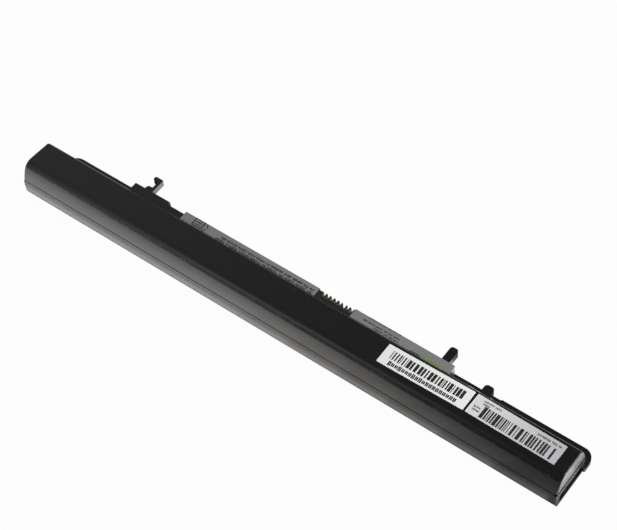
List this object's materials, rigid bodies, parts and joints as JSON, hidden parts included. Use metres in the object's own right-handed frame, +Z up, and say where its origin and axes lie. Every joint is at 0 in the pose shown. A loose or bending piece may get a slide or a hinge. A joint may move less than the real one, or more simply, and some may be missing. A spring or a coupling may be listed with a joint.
{
  "type": "laptop battery",
  "caption": "Slim bar-shaped laptop battery with a rounded front, a stepped rear ledge, a comb-shaped connector, a hook and latch tabs, and round cells in a row inside.",
  "frame": {"origin": "centre of the outline, on the flat underside", "axes": "+X along the bar towards the end with the lip and the pocket, +Y towards the connector and latch side, +Z up through the flat top"},
  "size_m": [0.2724, 0.0308, 0.0207],
  "materials": {
    "casing": "satin black moulded plastic with a fine grain",
    "socket_plastic": "matt black moulded plastic",
    "contact_metal": "thinly gilded spring brass",
    "silver_label": "silver-grey film label, satin",
    "white_sticker": "white paper sticker, matt",
    "cell_sleeve": "shrunk film sleeve",
    "insulating_card": "insulating card",
    "nickel": "rolled nickel strip",
    "lead_red": "soft insulation",
    "lead_black": "soft insulation",
    "foam": "closed-cell foam",
    "adhesive": "double-sided tape",
    "circuit_board": "green solder mask",
    "chip_plastic": "moulded chip body",
    "chip_metal": "tinned metal",
    "ceramic_body": "small ceramic body"
  },
  "bodies": {
    "root": {"upper_shell": "casing", "lower_shell": "casing", "connector_housing": "socket_plastic", "contact_1": "contact_metal", "contact_2": "contact_metal", "contact_3": "contact_metal", "contact_4": "contact_metal", "contact_5": "contact_metal", "contact_6": "contact_metal", "contact_7": "contact_metal", "silver_label_left": "silver_label", "silver_label_right": "silver_label", "barcode_sticker_left": "white_sticker", "barcode_sticker_right": "white_sticker", "cell_1": "cell_sleeve", "cell_2": "cell_sleeve", "cell_3": "cell_sleeve", "cell_4": "cell_sleeve", "insulator_ring_1": "insulating_card", "insulator_ring_2": "insulating_card", "insulator_ring_3": "insulating_card", "insulator_ring_4": "insulating_card", "insulation_sheet": "insulating_card", "nickel_strap_1": "nickel", "nickel_strap_2": "nickel", "nickel_strap_3": "nickel", "end_tab_left": "nickel", "end_tab_right": "nickel", "lead_right": "lead_red", "lead_left": "lead_black", "foam_pad_left": "foam", "foam_pad_right": "foam", "adhesive_strip": "adhesive", "circuit_board": "circuit_board", "gauge_chip": "chip_plastic", "mosfet_1": "chip_plastic", "mosfet_2": "chip_plastic", "sense_resistor": "chip_metal", "quartz_clock": "chip_metal", "chip_fuse": "ceramic_body", "thermistor": "ceramic_body"}
  },
  "joints": []
}
